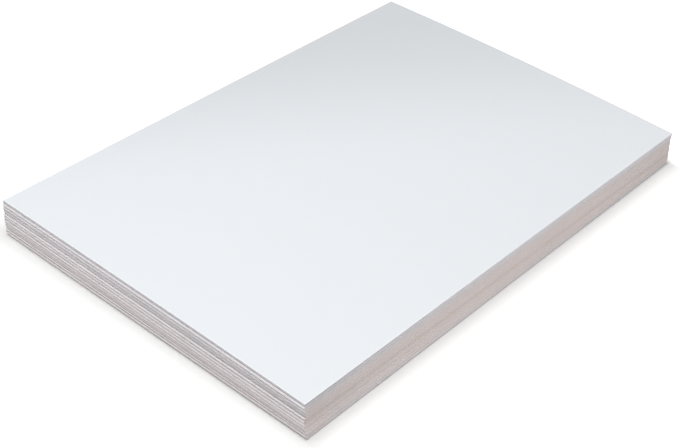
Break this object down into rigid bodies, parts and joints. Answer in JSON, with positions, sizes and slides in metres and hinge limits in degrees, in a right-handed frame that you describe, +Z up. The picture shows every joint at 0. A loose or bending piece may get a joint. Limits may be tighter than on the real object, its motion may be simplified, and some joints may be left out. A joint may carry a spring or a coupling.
{
  "type": "pack of cardstock",
  "caption": "Open pack of plain white card sheets lying flat, slightly fanned at the front edge, for printing, craft and stationery.",
  "frame": {"origin": "centre of the pack's footprint, on the surface that it lies on", "axes": "+X across the sheets' short side, +Y along their long side, away from the fanned front edge, +Z up through the pack"},
  "size_m": [0.212, 0.299, 0.0217],
  "materials": {
    "card": "smooth uncoated white card with warm grey cut edges"
  },
  "bodies": {
    "root": {"sheet_01": "card", "sheet_02": "card", "sheet_03": "card", "sheet_04": "card", "sheet_05": "card", "sheet_06": "card", "sheet_07": "card", "sheet_08": "card", "sheet_09": "card", "sheet_10": "card", "sheet_11": "card", "sheet_12": "card", "sheet_13": "card", "sheet_14": "card", "sheet_15": "card", "sheet_16": "card", "sheet_17": "card", "sheet_18": "card", "sheet_19": "card", "sheet_20": "card", "sheet_21": "card", "sheet_22": "card", "sheet_23": "card", "sheet_24": "card", "sheet_25": "card", "sheet_26": "card", "sheet_27": "card", "sheet_28": "card", "sheet_29": "card", "sheet_30": "card", "sheet_31": "card", "sheet_32": "card", "sheet_33": "card", "sheet_34": "card", "sheet_35": "card", "sheet_36": "card", "sheet_37": "card", "sheet_38": "card", "sheet_39": "card", "sheet_40": "card", "sheet_41": "card", "sheet_42": "card", "sheet_43": "card", "sheet_44": "card", "sheet_45": "card", "sheet_46": "card", "sheet_47": "card", "sheet_48": "card", "sheet_49": "card", "sheet_50": "card"}
  },
  "joints": []
}
